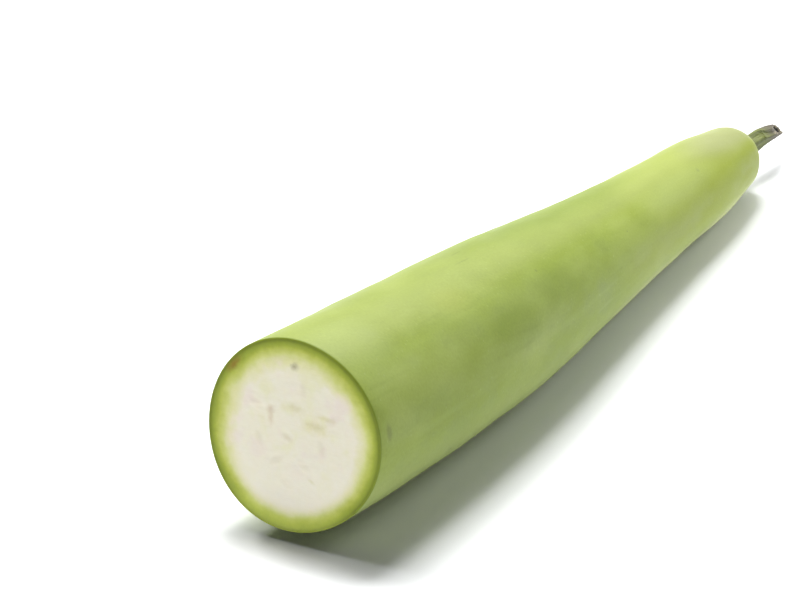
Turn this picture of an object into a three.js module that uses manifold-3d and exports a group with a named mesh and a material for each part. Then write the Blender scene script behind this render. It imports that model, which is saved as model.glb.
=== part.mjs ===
// The stem half of a long bottle gourd, cut straight across its belly and lying on its side.
// The fruit points along +X, from the flat cut face at its thick end to the stem at its thin end.
// +Z is up, and the origin lies under the middle of the whole piece, on the surface it rests on.
import * as THREE from "three";
import { mergeVertices } from "three/addons/utils/BufferGeometryUtils.js";
import Module from "manifold-3d";

const wasm = await Module();
wasm.setup();

// Driving dimensions, in millimetres

// Fruit: its radius at equal steps along its length, from the cut face to the neck
const FRUIT_LENGTH = 404;
const RADII = [37.2, 36.7, 35.4, 33.3, 29, 25, 21.7, 19.6, 14.2];
// The neck's end is rounded over its last stretch, a little more squarely than a plain ellipse
const END_ROUND = 18.6;
const END_POWER = 2.1;
// A shallow dimple in the neck's end, in which the stem stands
const DIMPLE_RADIUS = 7;
const DIMPLE_DEPTH = 0.9;
// The section is not quite round: it has three faint lobes, a share of the radius high, one of them at this
// angle in degrees from +Y, which are strongest at the cut and gone at the neck
const LOBE_COUNT = 3;
const LOBE_SHARE = 0.011;
const LOBE_ANGLE = 57;
// The fruit bows sideways: how far its middle stands off a straight line, and how much of that lies nearer the cut
const BOW = 4.9;
const BOW_TOWARDS_CUT = 1;
// The knife leaned: the cut face's top edge is set back towards the stem by this slope
const CUT_LEAN = 0.137;
// How far along the fruit the lean of the cut dies away
const CUT_FADE = 90;
// The fruit rests on its belly, this far from the cut, with a flat spot this deep
const REST_AT = 146;
const REST_DEPTH = 0.7;

// Stem: a dried stub with five ribs, wider at its foot, cut off at a slant, with a hollow in its tip
const STEM_LENGTH = 35;
const STEM_FOOT_RADIUS = 5.6;
const STEM_RADIUS = 4.4;
const STEM_TIP_RADIUS = 2.9;
const STEM_FOOT_HEIGHT = 5;
const STEM_RIBS = 5;
const STEM_RIB_SHARE = 0.1;
const STEM_PITH_RADIUS = 1.5;
const STEM_PITH_DEPTH = 3.5;
// The tip's slant: how much shorter its short side is than its middle, which way that side faces in degrees
// from +Y, and how far from the tip the slant begins, as a share of the length from the foot
const STEM_SLANT = 7.5;
const STEM_SLANT_ANGLE = 128;
const STEM_SLANT_FROM = 0.3;
// The stub bends aside, rises and twists a little on its way to the tip
const STEM_BEND = -3.8;
const STEM_RISE = 1.5;
const STEM_TWIST = 0.5;
// Clearance between the stem's foot and the fruit
const JOINT_GAP = 0.3;

// Number of flats round each piece and of steps along it
const FRUIT_SIDES = 56;
const FRUIT_STEPS = 40;
const END_STEPS = 12;
const STEM_SIDES = 40;
const STEM_STEPS = 14;

const skinMaterial = new THREE.MeshStandardMaterial({ color: 0xa9c06a, roughness: 0.45, metalness: 0 });
const stemMaterial = new THREE.MeshStandardMaterial({ color: 0x7d8250, roughness: 0.8, metalness: 0 });

const STATION = FRUIT_LENGTH / (RADII.length - 1);
const lobeTurn = THREE.MathUtils.degToRad(LOBE_ANGLE);
const slantTurn = THREE.MathUtils.degToRad(STEM_SLANT_ANGLE);
const outline = new THREE.SplineCurve(RADII.map((radius, i) => new THREE.Vector2(radius, i * STATION)));

// A smooth step from 1 at the cut to 0 where the given length ends
function fadeFromCut(along, length) {
  return 1 - THREE.MathUtils.smoothstep(along, 0, length);
}

// The fruit's radius at a given distance from the cut, before its end is rounded
function radiusAt(along) {
  return outline.getPoint(along / FRUIT_LENGTH).x;
}

// The fruit's half profile, as points of (radius, distance from the cut), from the axis back to the axis
function fruitProfile() {
  const profile = [new THREE.Vector2(0, 0)];
  for (let i = 0; i <= FRUIT_STEPS; i++) {
    const along = ((FRUIT_LENGTH - END_ROUND) * i) / FRUIT_STEPS;
    profile.push(new THREE.Vector2(radiusAt(along), along));
  }
  for (let i = 1; i < END_STEPS; i++) {
    const turn = (Math.PI / 2) * (i / END_STEPS);
    const along = FRUIT_LENGTH - END_ROUND * (1 - Math.sin(turn));
    const left = (FRUIT_LENGTH - along) / END_ROUND;
    const narrowing = Math.sqrt(1 - (1 - left) ** END_POWER);
    profile.push(new THREE.Vector2(radiusAt(along) * narrowing, along));
  }
  const floor = FRUIT_LENGTH - DIMPLE_DEPTH;
  profile.push(new THREE.Vector2(DIMPLE_RADIUS, FRUIT_LENGTH - DIMPLE_DEPTH * 0.35));
  profile.push(new THREE.Vector2(DIMPLE_RADIUS * 0.85, floor));
  profile.push(new THREE.Vector2(0, floor));
  return profile;
}

// How the radius changes where the belly rests, which is the slope at which the axis drops to the neck
const slopeAtRest = (radiusAt(REST_AT + STATION / 2) - radiusAt(REST_AT - STATION / 2)) / STATION;

// Where the fruit's axis runs at a given distance from the cut
function axisPoint(along) {
  const share = along / FRUIT_LENGTH;
  const bow = 4 * share * (1 - share) * (BOW + 2 * BOW_TOWARDS_CUT * (1 - 2 * share));
  return new THREE.Vector3(along, -bow, (along - REST_AT) * slopeAtRest);
}

// A turned solid about +X, with each of its points moved by a formula
function turnedSolid(profile, sides, shape) {
  const lathe = new THREE.LatheGeometry(profile, sides);
  lathe.rotateZ(-Math.PI / 2);
  lathe.deleteAttribute("normal");
  lathe.deleteAttribute("uv");
  const welded = mergeVertices(lathe);
  const place = welded.attributes.position;
  const point = new THREE.Vector3();
  for (let i = 0; i < place.count; i++) {
    shape(point.fromBufferAttribute(place, i));
    place.setXYZ(i, point.x, point.y, point.z);
  }
  return asManifold(welded);
}

// A closed solid from a geometry whose shared vertices are already merged
function asManifold(geometry) {
  const index = geometry.index.array;
  const corners = [];
  for (let i = 0; i < index.length; i += 3) {
    const [a, b, c] = [index[i], index[i + 1], index[i + 2]];
    if (a !== b && b !== c && c !== a) {
      corners.push(a, b, c);
    }
  }
  const vertProperties = new Float32Array(geometry.attributes.position.array);
  return new wasm.Manifold(new wasm.Mesh({ numProp: 3, vertProperties, triVerts: new Uint32Array(corners) }));
}

function asGeometry(solid) {
  const mesh = solid.getMesh();
  const geometry = new THREE.BufferGeometry();
  geometry.setAttribute("position", new THREE.BufferAttribute(new Float32Array(mesh.vertProperties), 3));
  geometry.setIndex(new THREE.BufferAttribute(new Uint32Array(mesh.triVerts), 1));
  geometry.computeVertexNormals();
  return geometry;
}

function makeFruit() {
  const solid = turnedSolid(fruitProfile(), FRUIT_SIDES, (point) => {
    const along = point.x;
    const angle = Math.atan2(point.z, point.y);
    const lobed = 1 + LOBE_SHARE * fadeFromCut(along, FRUIT_LENGTH) * Math.cos(LOBE_COUNT * (angle - lobeTurn));
    const axis = axisPoint(along);
    point.y = axis.y + point.y * lobed;
    point.z = axis.z + point.z * lobed;
    point.x = along + CUT_LEAN * point.z * fadeFromCut(along, CUT_FADE);
  });
  const bounds = new THREE.Box3().setFromBufferAttribute(asGeometry(solid).attributes.position);
  const waste = new THREE.BoxGeometry(2 * FRUIT_LENGTH, 2 * FRUIT_LENGTH, 20);
  waste.translate(FRUIT_LENGTH / 2, 0, bounds.min.z + REST_DEPTH - 10);
  waste.deleteAttribute("normal");
  waste.deleteAttribute("uv");
  return solid.subtract(asManifold(mergeVertices(waste)));
}

// The stem is turned upright about +X from its own foot, then bent, and set at the end of the fruit's axis
function makeStem() {
  const profile = [
    new THREE.Vector2(0, 0),
    new THREE.Vector2(STEM_FOOT_RADIUS, 0),
    new THREE.Vector2(STEM_FOOT_RADIUS * 0.97, STEM_FOOT_HEIGHT * 0.25),
    new THREE.Vector2(STEM_RADIUS * 1.08, STEM_FOOT_HEIGHT * 0.65),
  ];
  for (let i = 0; i <= STEM_STEPS; i++) {
    const share = i / STEM_STEPS;
    const radius = THREE.MathUtils.lerp(STEM_RADIUS, STEM_TIP_RADIUS, share ** 3);
    profile.push(new THREE.Vector2(radius, THREE.MathUtils.lerp(STEM_FOOT_HEIGHT, STEM_LENGTH - 1, share)));
  }
  profile.push(new THREE.Vector2(STEM_TIP_RADIUS * 0.8, STEM_LENGTH));
  profile.push(new THREE.Vector2(STEM_PITH_RADIUS, STEM_LENGTH - 0.6));
  profile.push(new THREE.Vector2(STEM_PITH_RADIUS * 0.7, STEM_LENGTH - STEM_PITH_DEPTH));
  profile.push(new THREE.Vector2(0, STEM_LENGTH - STEM_PITH_DEPTH));

  const end = axisPoint(FRUIT_LENGTH);
  const direction = end.clone().sub(axisPoint(FRUIT_LENGTH - 1)).normalize();
  const foot = axisPoint(FRUIT_LENGTH - DIMPLE_DEPTH).addScaledVector(direction, JOINT_GAP);
  const turn = new THREE.Quaternion().setFromUnitVectors(new THREE.Vector3(1, 0, 0), direction);
  return turnedSolid(profile, STEM_SIDES, (point) => {
    const share = THREE.MathUtils.clamp(point.x / STEM_LENGTH, 0, 1);
    const angle = Math.atan2(point.z, point.y);
    const radius = Math.hypot(point.y, point.z);
    const ribbed = 1 + STEM_RIB_SHARE * Math.min(1, point.x / STEM_FOOT_HEIGHT) * Math.cos(STEM_RIBS * angle);
    const twisted = angle + STEM_TWIST * share;
    const towardsShort = (radius / STEM_TIP_RADIUS) * Math.cos(twisted - slantTurn);
    point.x -= STEM_SLANT * THREE.MathUtils.smoothstep(share, STEM_SLANT_FROM, 1) * towardsShort;
    point.y = radius * ribbed * Math.cos(twisted) + STEM_BEND * share ** 2;
    point.z = radius * ribbed * Math.sin(twisted) + STEM_RISE * THREE.MathUtils.smoothstep(share, 0.2, 0.7);
    point.applyQuaternion(turn).add(foot);
  });
}

const gourd = new THREE.Group();

function addPiece(name, solid, material) {
  const mesh = new THREE.Mesh(asGeometry(solid), material);
  mesh.name = name;
  gourd.add(mesh);
}

addPiece("fruit", makeFruit(), skinMaterial);
addPiece("stem", makeStem(), stemMaterial);

// The origin goes under the middle of the whole piece, on the flat spot
const box = new THREE.Box3().setFromObject(gourd, true);
gourd.position.set(-(box.min.x + box.max.x) / 2, -(box.min.y + box.max.y) / 2, -box.min.z);

export default gourd;
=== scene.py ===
# The stem half of a long bottle gourd, cut straight across its belly and lying on its side on a white table.
# It points along +X, from the flat cut to the stem, in the frame of the CAD model that is loaded here. Its
# own sizes are in millimetres, and its meshes are turned to metres when they are finished.
import math

import bmesh
import bpy
from mathutils import Matrix, Vector, noise


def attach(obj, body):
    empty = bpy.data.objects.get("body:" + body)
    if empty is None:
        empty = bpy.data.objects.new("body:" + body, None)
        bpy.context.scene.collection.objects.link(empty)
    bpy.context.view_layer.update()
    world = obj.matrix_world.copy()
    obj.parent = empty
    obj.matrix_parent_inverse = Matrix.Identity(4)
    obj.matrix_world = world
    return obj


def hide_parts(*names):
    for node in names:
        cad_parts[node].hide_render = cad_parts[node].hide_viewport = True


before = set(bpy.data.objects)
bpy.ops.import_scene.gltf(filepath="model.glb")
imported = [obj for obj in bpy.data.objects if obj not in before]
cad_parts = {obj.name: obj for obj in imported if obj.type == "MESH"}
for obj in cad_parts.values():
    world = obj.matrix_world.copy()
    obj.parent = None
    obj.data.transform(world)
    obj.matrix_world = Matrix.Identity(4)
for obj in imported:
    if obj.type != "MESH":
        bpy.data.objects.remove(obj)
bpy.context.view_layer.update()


# The camera stands in front of the cut and looks along the gourd and down on it, through a long lens.
# Its place was found from the gourd's outline and from the round cut seen at a slant.
LENS = 162
SENSOR_WIDTH = 36
CAMERA_PLACE = (-1.24559, -0.62316, 0.6275)
CAMERA_BELOW_LEVEL = math.radians(23.9)
CAMERA_HEADING = math.radians(60.567)

camera_lens = bpy.data.cameras.new("camera")
camera_lens.lens = LENS
camera_lens.sensor_width = SENSOR_WIDTH
camera = bpy.data.objects.new("camera", camera_lens)
camera.location = CAMERA_PLACE
camera.rotation_euler = (math.pi / 2 - CAMERA_BELOW_LEVEL, 0, -CAMERA_HEADING)
bpy.context.scene.collection.objects.link(camera)
bpy.context.scene.camera = camera


# The table is a plain white sheet, lit so strongly that it stays white outside the gourd's shadow.
# A little light comes from all round. Softboxes add to it: four high ones that throw the soft shadow, one
# behind for the shine along the top, one on the cut, one by the neck and a low one to the right.
TABLE_WIDTH = 120
TABLE_WHITE = (0.865, 0.88, 0.89, 1)
ROOM_LIGHT = 0.035

# Well outside the picture the sheet glows, as a backdrop with lamps of its own does, so that it is white
# from every side: how far from the gourd the glow starts, and where it is full, in metres
GLOW_FROM = 0.9
GLOW_FULL = 2.2

# Each softbox: (where it stands, what it is turned to, width, power in watts), in metres like the table
SOFTBOXES = {
    "high softbox": ((0.48, 0.86, 2.22), (0, 0, 0), 0.4, 18),
    "broad high softbox": ((0.3, 1.0, 2.1), (0, 0, 0), 1.0, 32),
    "overhead softbox": ((0.70, 0.36, 2.25), (0, 0, 0), 0.5, 31.5),
    "left softbox": ((0.4, 1.7, 1.6), (0, 0, 0), 0.5, 25),
    "rear softbox": ((1.7, 0.4, 1.65), (0, 0, 0), 1.3, 17),
    "front softbox": ((-2.4, -0.6, 0.12), (-0.2, 0, 0.04), 0.25, 12.2),
    "neck softbox": ((0.5, -0.38, 0.42), (0.15, -0.03, 0), 0.3, 1.6),
    "low softbox": ((0.2, -2.2, 0.15), (0, 0, 0.03), 0.3, 3.5),
}


def join(tree, kind, settings=None, **inputs):
    """A new node in a tree, with its settings. Each input gets a value or another node's output.

    An input goes by its name, with _ for each space, or by _ and its number.
    """
    made = tree.nodes.new(kind)
    for name, value in (settings or {}).items():
        setattr(made, name, value)
    for name, value in inputs.items():
        socket = made.inputs[int(name[1:])] if name[0] == "_" else made.inputs[name.replace("_", " ")]
        if isinstance(value, bpy.types.NodeSocket):
            tree.links.new(value, socket)
        else:
            socket.default_value = value
    return made


def new_finish(name):
    """An empty material and its node tree."""
    finish = bpy.data.materials.new(name)
    finish.use_nodes = True
    finish.node_tree.nodes.clear()
    return finish, finish.node_tree


def remap(tree, value, low, high, to_low=0.0, to_high=1.0):
    """A value from one range on to another, smoothly and no further."""
    made = join(
        tree, "ShaderNodeMapRange", {"interpolation_type": "SMOOTHSTEP"},
        Value=value, From_Min=low, From_Max=high, To_Min=to_low, To_Max=to_high,
    )
    return made.outputs[0]


def make_object(name, form):
    """An object in the scene whose mesh holds a finished form."""
    mesh = bpy.data.meshes.new(name)
    form.to_mesh(mesh)
    form.free()
    made = bpy.data.objects.new(name, mesh)
    bpy.context.scene.collection.objects.link(made)
    return made


table_form = bmesh.new()
bmesh.ops.create_grid(table_form, x_segments=1, y_segments=1, size=TABLE_WIDTH / 2)
table = make_object("table", table_form)

table_finish, tree = new_finish("white table")
place = join(tree, "ShaderNodeTexCoord").outputs["Object"]
from_middle = join(tree, "ShaderNodeVectorMath", {"operation": "LENGTH"}, _0=place).outputs["Value"]
table_shader = join(
    tree, "ShaderNodeBsdfPrincipled", Base_Color=TABLE_WHITE, Roughness=0.7, Specular_IOR_Level=0.2,
    Emission_Color=(1, 1, 1, 1), Emission_Strength=remap(tree, from_middle, GLOW_FROM, GLOW_FULL),
)
join(tree, "ShaderNodeOutputMaterial", Surface=table_shader.outputs[0])
table_finish.cycles.emission_sampling = "NONE"
table.data.materials.append(table_finish)

for name, (place, turned_to, width, power) in SOFTBOXES.items():
    lamp = bpy.data.lights.new(name, "AREA")
    lamp.shape = "SQUARE"
    lamp.size = width
    lamp.energy = power
    softbox = bpy.data.objects.new(name, lamp)
    softbox.location = place
    softbox.rotation_euler = (Vector(place) - Vector(turned_to)).to_track_quat("Z", "Y").to_euler()
    softbox.visible_camera = False
    bpy.context.scene.collection.objects.link(softbox)

room = bpy.data.worlds.new("room")
room.use_nodes = True
room.node_tree.nodes["Background"].inputs["Color"].default_value = (1, 1, 1, 1)
room.node_tree.nodes["Background"].inputs["Strength"].default_value = ROOM_LIGHT
bpy.context.scene.world = room
bpy.context.scene.view_settings.view_transform = "Standard"


# The fruit grew in one piece and was cut across with a knife: a thin green rind round solid, cream-white
# flesh with young seeds. It tapers in a slight bow to a rounded neck, and rests on a small flat spot.
MM = 0.001

# Its radius at equal steps from the cut to the neck, whose end is rounded over its last stretch
FRUIT_LENGTH = 404
RADII = [37.2, 36.7, 35.4, 33.3, 29, 25, 21.7, 19.6, 14.2]
STATION = FRUIT_LENGTH / (len(RADII) - 1)
END_ROUND = 18.6
END_POWER = 2.1

# The dimple in which the stem stands: its depth, and how far from the axis its floor and its rim reach
DIMPLE_DEPTH = 0.9
DIMPLE_FLOOR = 5.8
DIMPLE_RIM = 8.2

# Its section has three faint lobes, one of them at this angle from +Y, and its middle bows sideways
LOBE_COUNT = 3
LOBE_SHARE = 0.011
LOBE_ANGLE = math.radians(57)
BOW = 4.9
BOW_TOWARDS_CUT = 1

# The knife leaned by this slope, which dies away along the fruit, and left the rim slightly rounded
CUT_LEAN = 0.137
CUT_FADE = 90
CUT_ROUNDING = 0.5
FLESH_REACH = 0.3 * CUT_ROUNDING

# How far from the cut it rests on its belly, and where its axis runs there
REST_AT = 146
AXIS_AT_REST = Vector((-74.42, 1.735, 32.964))

# Swellings of the skin: (height, breadth). They fade in behind the rim and out before the stem, between
# these distances from the cut
SKIN_SWELLS = [(0.32, 34), (0.13, 13)]
SWELLS_START = (2, 25)
SWELLS_END = (389, 403)

# Unevenness of the cut flesh: (height, breadth, slice of the noise), and how far the seeds stand out of it
FLESH_SWELLS = [(0.16, 11, 3), (0.05, 3, 9)]
SEED_RELIEF = 0.11

# The green ring in the cut is broader on one side: a factor on its breadth, how much that changes round
# the cut, and the angle from +Y at which it is broadest
RING_BREADTH = 0.97
RING_SKEW = 0.09
RING_SIDE = math.radians(30)

# Seeds that show faintly in the cut: (across, up, turn in degrees) from its middle
SEEDS = [
    (10, 6.5, 80), (-9, 5.4, 5), (2.4, -1.2, 20), (0, 10.7, 10), (-12.5, -2.5, 70), (14.5, -4, 60),
    (6.5, -11, -30), (-5.1, -10.5, 25), (16.5, 9, 20), (-16, 8.5, -40), (-3, 18, 80), (1, -19, 5),
]
SEED_LENGTH = 3.4
SEED_WIDTH = 1.7

# The mesh: its sides, its rings on the cut, the skin and the neck's end, and how far the skin's rings go
FRUIT_SIDES = 192
CUT_RINGS = 52
SKIN_RINGS = 196
END_RINGS = 24
SIDE_LENGTH = 396

# Patterns on the skin are laid out on an even cylinder of this radius
PATTERN_RADIUS = 30


def smooth_step(value, start, end):
    """0 before start, 1 after end, and a smooth rise between."""
    share = min(max((value - start) / (end - start), 0), 1)
    return share * share * (3 - 2 * share)


def fruit_radius(along):
    """The fruit's radius at a distance from the cut, on a smooth curve through RADII."""
    place = min(along / STATION, len(RADII) - 1.0001)
    first = int(place)
    share = place - first
    a, b, c, d = (RADII[min(max(first + k, 0), len(RADII) - 1)] for k in (-1, 0, 1, 2))
    bend = 2 * a - 5 * b + 4 * c - d
    twist = 3 * b - a - 3 * c + d
    return 0.5 * (2 * b + (c - a) * share + bend * share ** 2 + twist * share ** 3)


SLOPE_AT_REST = (fruit_radius(REST_AT + STATION / 2) - fruit_radius(REST_AT - STATION / 2)) / STATION


def fruit_axis(along):
    """Where the middle of the fruit runs at a distance from the cut."""
    share = along / FRUIT_LENGTH
    bow = 4 * share * (1 - share) * (BOW + 2 * BOW_TOWARDS_CUT * (1 - 2 * share))
    return AXIS_AT_REST + Vector((along - REST_AT, -bow, (along - REST_AT) * SLOPE_AT_REST))


def rounded_end(radius):
    """How far from the cut the neck's end lies at a distance from the axis, with the dimple in it."""
    full = fruit_radius(SIDE_LENGTH)
    left = 1 - (1 - min(radius / full, 1) ** 2) ** (1 / END_POWER)
    dimple = DIMPLE_DEPTH * (1 - smooth_step(radius, DIMPLE_FLOOR, DIMPLE_RIM))
    return FRUIT_LENGTH - END_ROUND * left - dimple


def pattern_place(along, around):
    """Where a point of the skin lies for its patterns."""
    return Vector((along, PATTERN_RADIUS * math.cos(around), PATTERN_RADIUS * math.sin(around)))


def seed_at(across, up):
    """From 0 in plain flesh to 1 in the middle of the nearest seed."""
    best = 0
    for seed_across, seed_up, turn in SEEDS:
        turned = Matrix.Rotation(math.radians(-turn), 2) @ Vector((across - seed_across, up - seed_up))
        reach = math.hypot(turned.x / SEED_LENGTH, turned.y / SEED_WIDTH)
        best = max(best, 1 - smooth_step(reach, 0.3, 1.25))
    return best


def turned_form(corners, rings, sides):
    """A closed form turned about the X axis from the corners of its outline, with rings between them."""
    form = bmesh.new()
    corner_verts = [form.verts.new(place) for place in corners]
    outline = [form.edges.new(pair) for pair in zip(corner_verts, corner_verts[1:])]
    for edge, count in zip(outline, rings):
        bmesh.ops.subdivide_edges(form, edges=[edge], cuts=count - 1)
    bmesh.ops.spin(
        form, geom=form.verts[:] + form.edges[:], cent=(0, 0, 0), axis=(1, 0, 0),
        angle=2 * math.pi, steps=sides, use_merge=True,
    )
    bmesh.ops.remove_doubles(form, verts=form.verts, dist=0.0001)
    bmesh.ops.recalc_face_normals(form, faces=form.faces)
    return form


# A plain drum first, with its rim at the cut rounded
fruit_form = turned_form(
    [(0, 0, 0), (0, 0, RADII[0]), (SIDE_LENGTH, 0, RADII[0]), (SIDE_LENGTH, 0, 0)],
    (CUT_RINGS, SKIN_RINGS, END_RINGS), FRUIT_SIDES,
)
rim = [
    edge for edge in fruit_form.edges
    if all(vert.co.x < 0.01 and math.hypot(vert.co.y, vert.co.z) > RADII[0] - 0.01 for vert in edge.verts)
]
bmesh.ops.bevel(
    fruit_form, geom=rim, offset=CUT_ROUNDING, segments=4, profile=0.5, affect="EDGES", material=-1,
)
for face in fruit_form.faces:
    face.smooth = True
    face.material_index = 1 if face.calc_center_median().x < FLESH_REACH else 0

# Then each of its points is moved to where it lies on the gourd, and keeps its place for the patterns
growth_layer = fruit_form.verts.layers.float_vector.new("growth")
depth_layer = fruit_form.verts.layers.float.new("depth")
seed_layer = fruit_form.verts.layers.float.new("seed")
for vert in fruit_form.verts:
    around = math.atan2(vert.co.z, vert.co.y)
    share = math.hypot(vert.co.y, vert.co.z) / RADII[0]
    along = from_cut = vert.co.x
    on_cut = from_cut < FLESH_REACH
    left = min((FRUIT_LENGTH - along) / END_ROUND, 1)
    radius = share * fruit_radius(along) * math.sqrt(1 - (1 - left) ** END_POWER)
    if from_cut > SIDE_LENGTH - 0.01:
        along = rounded_end(radius)
    lobes = LOBE_SHARE * (1 - smooth_step(along, 0, FRUIT_LENGTH))
    lobed = 1 + lobes * math.cos(LOBE_COUNT * (around - LOBE_ANGLE))
    across = radius * lobed * math.cos(around)
    up = radius * lobed * math.sin(around)

    # Depth inwards from the rim counts in millimetres, and more slowly where the green ring is broader
    ring_width = RING_BREADTH + RING_SKEW * math.cos(around - RING_SIDE)
    vert[depth_layer] = (1 - share) * RADII[0] * lobed / ring_width if from_cut < 2 * CUT_ROUNDING else 0
    vert[growth_layer] = Vector((0, across, up)) * MM if on_cut else pattern_place(along, around) * MM
    vert[seed_layer] = seed_at(across, up) if on_cut else 0

    # Small swellings and hollows of the growing fruit
    ripple = pattern_place(along, around)
    swell = sum(height * noise.noise(ripple / breadth) for height, breadth in SKIN_SWELLS)
    swell *= smooth_step(from_cut, *SWELLS_START) * (1 - smooth_step(along, *SWELLS_END))
    across += swell * math.cos(around)
    up += swell * math.sin(around)

    # The knife leaned, and left the flesh faintly uneven
    axis = fruit_axis(along)
    lean = CUT_LEAN * (axis.z - AXIS_AT_REST.z + up) * (1 - smooth_step(along, 0, CUT_FADE))
    uneven = sum(
        height * noise.noise(Vector((across, up, slice_at)) / breadth)
        for height, breadth, slice_at in FLESH_SWELLS
    )
    flesh_share = smooth_step(1 - share, 0.03, 0.15) if on_cut else 0
    proud = (uneven + SEED_RELIEF * vert[seed_layer]) * flesh_share
    vert.co = (axis.x + lean - proud, axis.y + across, max(axis.z + up, 0))
bmesh.ops.scale(fruit_form, vec=(MM, MM, MM), verts=fruit_form.verts)
fruit = make_object("gourd_fruit", fruit_form)


def plain_color(red, green, blue):
    """A colour given as it looks on a screen, from 0 to 255, as the linear values that a shader takes."""
    shares = [value / 255 for value in (red, green, blue)]
    return [share / 12.92 if share < 0.04045 else ((share + 0.055) / 1.055) ** 2.4 for share in shares] + [1]


def pattern(tree, place, size, stretch=(1, 1, 1), detail=3, roughness=0.5, offset=0):
    """Cloudy noise in patches of a size in millimetres, drawn out along an axis where stretch is above 1."""
    shifted = join(
        tree, "ShaderNodeMapping", Vector=place, Location=(offset, offset * 0.7, -offset),
        Scale=[1 / MM / size / reach for reach in stretch],
    )
    cloud = join(
        tree, "ShaderNodeTexNoise", Vector=shifted.outputs[0], Scale=1.0, Detail=detail, Roughness=roughness,
    )
    return cloud.outputs["Fac"]


def blend(tree, share, color, other, way="MIX"):
    """One colour laid over another by a share."""
    settings = {"data_type": "RGBA", "blend_type": way}
    return join(tree, "ShaderNodeMix", settings, _0=share, _6=color, _7=other).outputs[2]


def reckon(tree, way, first, second):
    """Arithmetic on two values."""
    return join(tree, "ShaderNodeMath", {"operation": way}, _0=first, _1=second).outputs[0]


def grey_of(tree, value):
    """A value as a shade of grey."""
    return join(tree, "ShaderNodeCombineColor", Red=value, Green=value, Blue=value).outputs[0]


def attribute(tree, name, output):
    """What the mesh holds under a name."""
    return join(tree, "ShaderNodeAttribute", {"attribute_name": name}).outputs[output]


def mark_reach(tree, place, middle, halves, turn=0):
    """How far a place lies from the middle of a mark, as a share of the way to the mark's edge.

    The middle and the halves of its length and breadth are in millimetres, the turn in degrees.
    """
    inward = join(
        tree, "ShaderNodeMapping", {"vector_type": "TEXTURE"}, Vector=place, Location=Vector(middle) * MM,
        Rotation=(math.radians(turn), 0, 0), Scale=Vector(halves) * MM,
    )
    return join(tree, "ShaderNodeVectorMath", {"operation": "LENGTH"}, _0=inward.outputs[0]).outputs["Value"]


# The rind's finish: satin, downy and pale green, in soft blotches that run lengthwise, with fine pale pores.
# Light is painted on it too: a highlight along the top, light from the table below, and shade in places
RIND_GREEN = plain_color(137, 154, 60)
RIND_PALE = plain_color(156, 171, 88)
RIND_DEEP = plain_color(122, 140, 58)
RIND_TOP_HIGHLIGHT = plain_color(151, 161, 95)
RIND_EDGE = plain_color(120, 136, 44)
NECK_GREEN = plain_color(150, 162, 62)
# Olive darkens the neck's end, and is painted as shade in patches on the neck's -Y side
NECK_OLIVE_AND_SHADE = plain_color(138, 150, 50)
# A pale tint painted on the top of the neck as a highlight
NECK_TOP_HIGHLIGHT = plain_color(152, 157, 110)
# A pale green for pale patches on the rind, and painted on the underside as light bounced up from the table
PALE_PATCH_AND_BOUNCE = plain_color(170, 183, 118)
# A pale green painted low on the neck as the reflection of the white table
UNDER_PAINTED_REFLECTION = plain_color(206, 212, 160)
# A darker green painted along the far top, on the +Y side, as shade
BACK_PAINTED_SHADE = plain_color(106, 126, 42)
# A darker green in blotches on the upper -Y side, partly the rind's own blotches and partly painted shade
BLOTCH_AND_SHADE_GREEN = plain_color(116, 134, 44)
WARM_PATCH = plain_color(160, 167, 76)
PORE_PALE = plain_color(180, 192, 122)
SCAR_BROWN = plain_color(108, 118, 66)
PORES_IN_A_METRE = 420.0

# Marks on the rind: (distance from the cut, angle from +Y in degrees, length, breadth, strength, colour)
# Several are painted light: a highlight on the neck's top, the table's reflection low on the neck, and shade
# along the far top, on the neck's -Y side and in the blotches on the upper -Y side
RIND_MARKS = [
    (128, 81, 9, 1.2, 0.35, SCAR_BROWN), (121, 93, 12, 0.9, 0.3, SCAR_BROWN),
    (322, 127.5, 3.4, 3, 0.5, SCAR_BROWN), (6.5, 168, 4, 6, 0.45, SCAR_BROWN),
    (112, 150, 44, 17, 0.45, BLOTCH_AND_SHADE_GREEN), (150, 143, 36, 12, 0.4, BLOTCH_AND_SHADE_GREEN),
    (78, 138, 40, 13, 0.3, BLOTCH_AND_SHADE_GREEN), (134, 143, 120, 22, 0.3, BLOTCH_AND_SHADE_GREEN),
    (16, 112, 42, 34, 0.25, PALE_PATCH_AND_BOUNCE), (87, 116, 26, 14, 0.25, WARM_PATCH),
    (147, 128, 1.6, 1.4, 0.4, SCAR_BROWN), (232, 140, 1.5, 1.2, 0.4, SCAR_BROWN),
    (374, 102, 98, 40, 0.8, NECK_TOP_HIGHLIGHT), (386, 170, 74, 38, 0.85, NECK_OLIVE_AND_SHADE),
    (300, 132, 90, 20, 0.4, PALE_PATCH_AND_BOUNCE), (268, 174, 130, 17, 0.45, NECK_OLIVE_AND_SHADE),
    (60, 210, 3, 1, 0.4, SCAR_BROWN), (250, 20, 18, 1, 0.3, SCAR_BROWN),
    (360, 220, 110, 26, 0.7, UNDER_PAINTED_REFLECTION), (205, 70, 170, 40, 0.5, BACK_PAINTED_SHADE),
    (300, 300, 2, 2, 0.5, SCAR_BROWN), (262, 214, 120, 14, 0.4, UNDER_PAINTED_REFLECTION),
    (180, 350, 30, 20, 0.4, WARM_PATCH), (70, 30, 2, 2, 0.5, SCAR_BROWN),
]

rind_finish, tree = new_finish("gourd rind")
growth = attribute(tree, "growth", "Vector")
growth_parts = join(tree, "ShaderNodeSeparateXYZ", Vector=growth)
along_fruit, height = growth_parts.outputs["X"], growth_parts.outputs["Z"]
clouds = pattern(tree, growth, 42, stretch=(2.2, 1, 1), detail=4)
fine_clouds = pattern(tree, growth, 11, stretch=(1.8, 1, 1), detail=4, offset=3)
streaks = pattern(tree, growth, 4.5, stretch=(14, 1, 1), detail=3, offset=7)
grain = pattern(tree, growth, 0.9, detail=2, offset=5)

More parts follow.
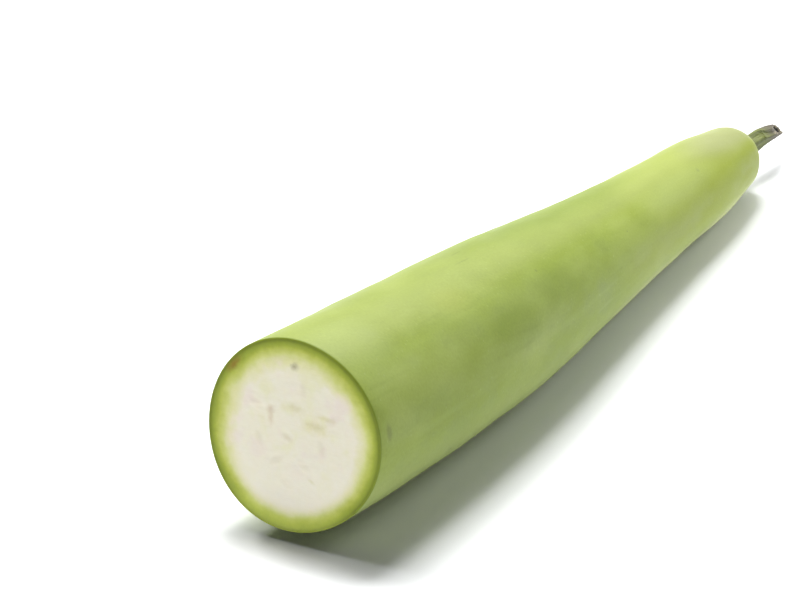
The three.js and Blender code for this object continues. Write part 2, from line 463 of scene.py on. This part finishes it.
# Each layer of colour: (what it follows, where it starts, where it is full, strength, colour)
color = RIND_GREEN
for follows, start, full, strength, tint in [
    (clouds, 0.5, 0.72, 1.0, RIND_PALE), (clouds, 0.5, 0.3, 0.7, RIND_DEEP),
    (fine_clouds, 0.5, 0.75, 0.5, RIND_PALE), (fine_clouds, 0.5, 0.27, 0.4, RIND_DEEP),
    (streaks, 0.55, 0.8, 0.35, RIND_PALE), (streaks, 0.45, 0.2, 0.35, RIND_DEEP),
    (along_fruit, 0.2, 0.35, 0.85, NECK_GREEN), (along_fruit, 0.384, 0.403, 0.5, NECK_OLIVE_AND_SHADE),
    # Of the last two layers, the first paints a highlight along the top, the second painted light from the
    # table on the underside
    (height, 0.0225, 0.0285, 0.5, RIND_TOP_HIGHLIGHT), (height, 0.0, -0.015, 0.65, PALE_PATCH_AND_BOUNCE),
]:
    color = blend(tree, remap(tree, follows, start, full, 0.0, strength), color, tint)

pores = join(tree, "ShaderNodeTexVoronoi", {"feature": "F1"}, Vector=growth, Scale=PORES_IN_A_METRE)
pore_pick = join(tree, "ShaderNodeSeparateColor", Color=pores.outputs["Color"]).outputs[0]
pore = remap(tree, pores.outputs["Distance"], 0.10, 0.22, 1.0, 0.0)
pore = reckon(tree, "MULTIPLY", pore, remap(tree, pore_pick, 0.3, 0.9, 0.0, 0.2))
color = blend(tree, pore, color, PORE_PALE)
for along, angle, length, breadth, strength, tint in RIND_MARKS:
    middle = pattern_place(along, math.radians(angle))
    reach = mark_reach(tree, growth, middle, (length / 2, breadth / 2, breadth / 2))
    color = blend(tree, remap(tree, reach, 0.35, 1.25, strength, 0.0), color, tint)
color = blend(tree, remap(tree, along_fruit, 0.0002, 0.0011, 1.0, 0.0), color, RIND_EDGE)
color = blend(tree, 0.12, color, grey_of(tree, grain), "OVERLAY")

rind_swell = join(tree, "ShaderNodeBump", Height=fine_clouds, Strength=0.35, Distance=0.0006)
rind_grain = join(
    tree, "ShaderNodeBump", Height=grain, Strength=0.3, Distance=0.00008, Normal=rind_swell.outputs[0],
)
rind_shader = join(
    tree, "ShaderNodeBsdfPrincipled", Base_Color=color, Normal=rind_grain.outputs[0],
    Roughness=remap(tree, fine_clouds, 0.3, 0.7, 0.42, 0.54), Specular_IOR_Level=0.2,
    Subsurface_Weight=0.12, Subsurface_Radius=(0.9, 1.0, 0.35), Subsurface_Scale=0.002,
)
join(tree, "ShaderNodeOutputMaterial", Surface=rind_shader.outputs[0])

# The cut's finish: moist cream flesh, framed by the rind's dark line and a green that fades inwards
RIND_LINE = plain_color(120, 135, 26)
RIND_INSIDE = plain_color(148, 163, 46)
RIND_FADING = plain_color(170, 182, 62)
RIND_PALEST = plain_color(195, 203, 92)
# A lighter green painted on the lowest part of the ring as light from below
RING_LIT_FROM_BELOW = plain_color(222, 236, 112)
FLESH_GREEN = plain_color(213, 218, 127)
FLESH_EDGE = plain_color(234, 232, 177)
FLESH_CREAM = plain_color(247, 241, 220)
# A lighter cream painted low in the flesh as light from below, and in streaks as highlights on the moist cut
FLESH_PAINTED_LIGHT = plain_color(255, 247, 228)
FLESH_YELLOW = plain_color(241, 238, 200)
FLESH_PINK = plain_color(245, 233, 220)
SEED_TINT = plain_color(216, 204, 170)
SPOT_GREY = plain_color(138, 130, 82)
BRUISE_BROWN = plain_color(146, 106, 16)
STREAK_PINK = plain_color(206, 178, 148)
STREAK_YELLOW = plain_color(222, 216, 160)

# The colours from the rim inwards: (depth, colour), over a ramp of this span
RING_STOPS = [
    (0.0, RIND_LINE), (0.9, RIND_LINE), (1.9, RIND_INSIDE), (3.1, RIND_FADING), (4.5, RIND_PALEST),
    (6.4, FLESH_GREEN), (9.0, FLESH_EDGE), (12.5, FLESH_CREAM),
]
RING_SPAN = 15

# Marks on the cut: (across, up, length, breadth, turn in degrees, strength, colour), from its middle
# The light cream streaks among them are painted highlights on the moist cut
CUT_MARKS = [
    (0.9, 26.9, 3.6, 3.2, 0, 0.66, SPOT_GREY), (26.9, 22.4, 9, 3.4, 130, 0.8, BRUISE_BROWN),
    (10, 8.5, 4, 3.2, 0, 0.45, STREAK_PINK), (9.8, 5, 6, 2.6, 80, 0.3, STREAK_PINK),
    (-9.2, 5.4, 12, 5.5, 5, 0.6, STREAK_YELLOW), (0, 10.7, 11, 4.5, 10, 0.4, STREAK_YELLOW),
    (-13, 9.6, 10, 2.2, 0, 0.5, STREAK_YELLOW), (15.2, 9.1, 9, 2, -10, 0.7, FLESH_PAINTED_LIGHT),
    (-5.1, -9.5, 6, 1.6, 0, 0.7, FLESH_PAINTED_LIGHT), (0, -18.5, 7, 2.5, 5, 0.8, FLESH_PAINTED_LIGHT),
    (-9.3, -15.7, 4, 1.6, 30, 0.4, STREAK_YELLOW), (2.4, -1.2, 5, 2, 20, 0.3, SEED_TINT),
]

flesh_finish, tree = new_finish("gourd flesh")
growth = attribute(tree, "growth", "Vector")
depth = attribute(tree, "depth", "Fac")
seed = attribute(tree, "seed", "Fac")
height = join(tree, "ShaderNodeSeparateXYZ", Vector=growth).outputs["Z"]
wander = pattern(tree, growth, 9, detail=3)
sponge = pattern(tree, growth, 2.2, detail=5, roughness=0.62, offset=2)
patches = pattern(tree, growth, 14, detail=3, offset=4)
knife = pattern(tree, growth, 1.1, stretch=(1, 18, 1), detail=2, offset=6)

# The ring's inner edge wanders, and its lowest part is painted lighter, as light bounced up from the table
wander_reach = remap(tree, depth, 0.6, 6.0, 0.0, 6.5)
wandering = reckon(tree, "MULTIPLY", reckon(tree, "SUBTRACT", wander, 0.5), wander_reach)
ring_place = reckon(tree, "DIVIDE", reckon(tree, "ADD", depth, wandering), RING_SPAN)
ring = join(tree, "ShaderNodeValToRGB", Fac=ring_place)
for number, (place, tint) in enumerate(RING_STOPS):
    stops = ring.color_ramp.elements
    stop = stops[number] if number < 2 else stops.new(place / RING_SPAN)
    stop.position = place / RING_SPAN
    stop.color = tint
lit_from_below = remap(tree, height, -0.02, -0.038, 0.0, 0.48)
behind_line = reckon(tree, "MULTIPLY", lit_from_below, remap(tree, depth, 0.0, 2.5, 0.6, 1.0))
ring_painted_light = reckon(tree, "MULTIPLY", behind_line, remap(tree, depth, 10.0, 4.5))
color = blend(tree, ring_painted_light, ring.outputs["Color"], RING_LIT_FROM_BELOW)

# Each layer of colour inside the ring, told as on the rind
inside = remap(tree, depth, 5.0, 12.0)
for follows, start, full, strength, tint in [
    (patches, 0.5, 0.66, 0.7, FLESH_YELLOW), (patches, 0.48, 0.34, 0.8, FLESH_PINK),
    # The lower flesh is painted lighter, as light bounced up from the table
    (height, 0.0, -0.024, 0.9, FLESH_PAINTED_LIGHT),
]:
    share = reckon(tree, "MULTIPLY", inside, remap(tree, follows, start, full, 0.0, strength))
    color = blend(tree, share, color, tint)
color = blend(tree, reckon(tree, "MULTIPLY", seed, 0.18), color, SEED_TINT)

frayed = reckon(tree, "SUBTRACT", sponge, 0.5)
for across, up, length, breadth, turn, strength, tint in CUT_MARKS:
    reach = mark_reach(tree, growth, (0, across, up), (1 / MM, length / 2, breadth / 2), turn)
    spot = remap(tree, reckon(tree, "ADD", reach, frayed), -0.2, 1.5, strength, 0.0)
    color = blend(tree, spot, color, tint)
color = blend(tree, 0.16, color, grey_of(tree, sponge), "OVERLAY")

flesh_swell = join(tree, "ShaderNodeBump", Height=sponge, Strength=0.35, Distance=0.00025)
flesh_knife = join(
    tree, "ShaderNodeBump", Height=knife, Strength=0.18, Distance=0.0002, Normal=flesh_swell.outputs[0],
)
flesh_shader = join(
    tree, "ShaderNodeBsdfPrincipled", Base_Color=color, Normal=flesh_knife.outputs[0],
    Roughness=remap(tree, sponge, 0.3, 0.7, 0.42, 0.6), Specular_IOR_Level=0.3,
    Subsurface_Weight=0.3, Subsurface_Radius=(1.0, 0.85, 0.55), Subsurface_Scale=0.003,
    Coat_Weight=0.06, Coat_Roughness=0.25,
)
join(tree, "ShaderNodeOutputMaterial", Surface=flesh_shader.outputs[0])

fruit.data.materials.append(rind_finish)
fruit.data.materials.append(flesh_finish)
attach(fruit, "root")
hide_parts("fruit")


# The stem is the stub that the fruit hung from, now drying: woody and furrowed between five ribs, green at
# its foot and grey brown at its tip, where it was cut off at a slant across two hollows in its pale pith,
# painted dark as shade. It grows from the dimple in the neck's end.
STEM_LENGTH = 35
STEM_FOOT_RADIUS = 5.6
STEM_RADIUS = 4.4
STEM_TIP_RADIUS = 2.9
STEM_FOOT_HEIGHT = 5
STEM_GAP = 0.05

# Its ribs and fibres: their heights as shares of the radius, and (height, fineness) for the fibres
STEM_RIBS = 5
STEM_RIB_SHARE = 0.1
STEM_FIBRES = [(0.05, 1.7), (0.035, 4)]

# The tip's slant: how much shorter one side is, which side, and from what share of the length. Then the
# notch where it tore further, and the height and fineness of its ragged edge
STEM_SLANT = 7.5
STEM_SLANT_ANGLE = math.radians(128)
STEM_SLANT_FROM = 0.3
STEM_NOTCH = 4
STEM_NOTCH_ANGLE = math.radians(150)
STEM_NOTCH_FROM = 0.45
RAG_HEIGHT = 1.1
RAG_FINENESS = 2.6

# It bends aside, rises and twists a little on its way to the tip
STEM_BEND = -3.8
STEM_RISE = 1.5
STEM_TWIST = 0.5

# The two hollows: their depth, how far they reach at the rim and at the floor as shares of the radius,
# their mean breadth, how much that varies round the stem, and which way they lie
HOLLOW_DEPTH = 8
HOLLOW_RIM = 0.7
HOLLOW_FLOOR = 0.56
HOLLOW_BREADTH = 0.95
HOLLOW_WAIST = 0.33
HOLLOWS_ANGLE = math.radians(60)

# The mesh: its sides, and its rings on the foot, the side, the tip's face, the hollows' wall and their floor
STEM_SIDES = 120
STEM_RINGS = (6, 90, 6, 10, 4)

hollow_floor_at = STEM_LENGTH - HOLLOW_DEPTH
stem_form = turned_form(
    [
        (0, 0, 0), (0, 0, 1), (STEM_LENGTH, 0, 1), (STEM_LENGTH, 0, HOLLOW_RIM),
        (hollow_floor_at, 0, HOLLOW_FLOOR), (hollow_floor_at, 0, 0),
    ],
    STEM_RINGS, STEM_SIDES,
)
for face in stem_form.faces:
    face.smooth = True

stem_direction = (fruit_axis(FRUIT_LENGTH) - fruit_axis(FRUIT_LENGTH - 1)).normalized()
stem_turn = Vector((1, 0, 0)).rotation_difference(stem_direction)
stem_foot = fruit_axis(FRUIT_LENGTH - DIMPLE_DEPTH) + stem_direction * STEM_GAP
growth_layer = stem_form.verts.layers.float_vector.new("growth")
pith_layer = stem_form.verts.layers.float.new("pith")
hollow_layer = stem_form.verts.layers.float.new("hollow")
for vert in stem_form.verts:
    along = vert.co.x
    share = along / STEM_LENGTH
    around = math.atan2(vert.co.z, vert.co.y)
    twisted = around + STEM_TWIST * share
    out = math.hypot(vert.co.y, vert.co.z)
    flare = 1 - smooth_step(along, 0, STEM_FOOT_HEIGHT)
    stub = STEM_RADIUS + (STEM_TIP_RADIUS - STEM_RADIUS) * share ** 3
    full = stub + (STEM_FOOT_RADIUS - STEM_RADIUS) * flare
    rise = min(1, along / STEM_FOOT_HEIGHT)
    ribbed = 1 + STEM_RIB_SHARE * rise * math.cos(STEM_RIBS * around)
    fibre_place = Vector((3 * math.cos(around), 3 * math.sin(around), along / 11))
    fibres = sum(tall * noise.noise(fibre_place * fineness) for tall, fineness in STEM_FIBRES)
    fibres *= rise * smooth_step(out, 0.3, 0.8)

    # Two hollows side by side in the pith, narrow where they meet
    in_pith = along > hollow_floor_at - 0.01 and out < 0.999
    in_hollow = in_pith and out < HOLLOW_RIM + 0.01
    waist = HOLLOW_BREADTH + HOLLOW_WAIST * math.cos(2 * (twisted - HOLLOWS_ANGLE)) if in_hollow else 1
    vert[pith_layer] = smooth_step(1 - out, 0.02, 0.2) if in_pith else 0
    vert[hollow_layer] = 1 if in_pith and out < HOLLOW_RIM - 0.02 else 0
    radius = out * waist * full * (ribbed + fibres)

    # The tip's slanting cut, torn lower on its short side, and ragged where fibres stand out of it
    slanted = STEM_SLANT * smooth_step(share, STEM_SLANT_FROM, 1) * math.cos(twisted - STEM_SLANT_ANGLE)
    notched = max(0, math.cos(twisted - STEM_NOTCH_ANGLE)) ** 2
    slanted += STEM_NOTCH * smooth_step(share, STEM_NOTCH_FROM, 1) * notched
    rag_place = Vector((RAG_FINENESS * math.cos(around), RAG_FINENESS * math.sin(around), 5))
    ragged = RAG_HEIGHT * smooth_step(share, 0.85, 1) * noise.noise(rag_place) * smooth_step(out, 0.5, 1)
    along += ragged - slanted * radius / STEM_TIP_RADIUS
    vert[growth_layer] = (along / STEM_LENGTH, 0.5 * math.cos(around), 0.5 * math.sin(around))
    risen = radius * math.sin(twisted) + STEM_RISE * smooth_step(share, 0.2, 0.7)
    bent = Vector((along, radius * math.cos(twisted) + STEM_BEND * share ** 2, risen))
    vert.co = stem_turn @ bent + stem_foot
bmesh.ops.scale(stem_form, vec=(MM, MM, MM), verts=stem_form.verts)
stem = make_object("gourd_stem", stem_form)

# The stem's finish: matt and fibrous, olive green to weathered grey brown, painted shade in furrows and
# hollows
STEM_GREEN = plain_color(114, 122, 58)
STEM_OLIVE = plain_color(84, 92, 40)
STEM_BROWN = plain_color(72, 64, 48)
STEM_GREY = plain_color(93, 87, 67)
STEM_FURROW_SHADE = plain_color(66, 70, 36)
STEM_PITH = plain_color(136, 126, 98)
STEM_PITH_BROWN = plain_color(72, 66, 42)
STEM_HOLLOW_SHADE = plain_color(30, 26, 24)

stem_finish, tree = new_finish("gourd stem")
growth = attribute(tree, "growth", "Vector")
pith = attribute(tree, "pith", "Fac")
hollow = attribute(tree, "hollow", "Fac")
up_stem = join(tree, "ShaderNodeSeparateXYZ", Vector=growth).outputs["X"]
fibre = pattern(tree, growth, 110, stretch=(7, 1, 1), detail=5, roughness=0.65)
blotch = pattern(tree, growth, 260, detail=3, offset=5)

# It dries from its tip, with an edge that wanders
wandering = reckon(tree, "MULTIPLY", reckon(tree, "SUBTRACT", blotch, 0.5), 0.5)
drying = reckon(tree, "ADD", up_stem, wandering)
fresh = blend(tree, remap(tree, fibre, 0.35, 0.65), STEM_OLIVE, STEM_GREEN)
dry = blend(tree, remap(tree, fibre, 0.38, 0.68), STEM_BROWN, STEM_GREY)
torn_pith = blend(tree, remap(tree, fibre, 0.42, 0.62), STEM_PITH_BROWN, STEM_PITH)
color = blend(tree, remap(tree, drying, 0.42, 0.82), fresh, dry)
# The lowest streaks of the fibres, the furrows of the bump, are painted darker as shade
color = blend(tree, remap(tree, fibre, 0.42, 0.25, 0.0, 0.7), color, STEM_FURROW_SHADE)
color = blend(tree, pith, color, torn_pith)
# The hollows are painted dark as shade
color = blend(tree, hollow, color, STEM_HOLLOW_SHADE)

stem_furrows = join(tree, "ShaderNodeBump", Height=fibre, Strength=0.6, Distance=0.0005)
stem_shader = join(
    tree, "ShaderNodeBsdfPrincipled", Base_Color=color, Normal=stem_furrows.outputs[0],
    Roughness=remap(tree, fibre, 0.3, 0.7, 0.7, 0.88), Sheen_Weight=0.15,
)
join(tree, "ShaderNodeOutputMaterial", Surface=stem_shader.outputs[0])

stem.data.materials.append(stem_finish)
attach(stem, "root")
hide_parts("stem")
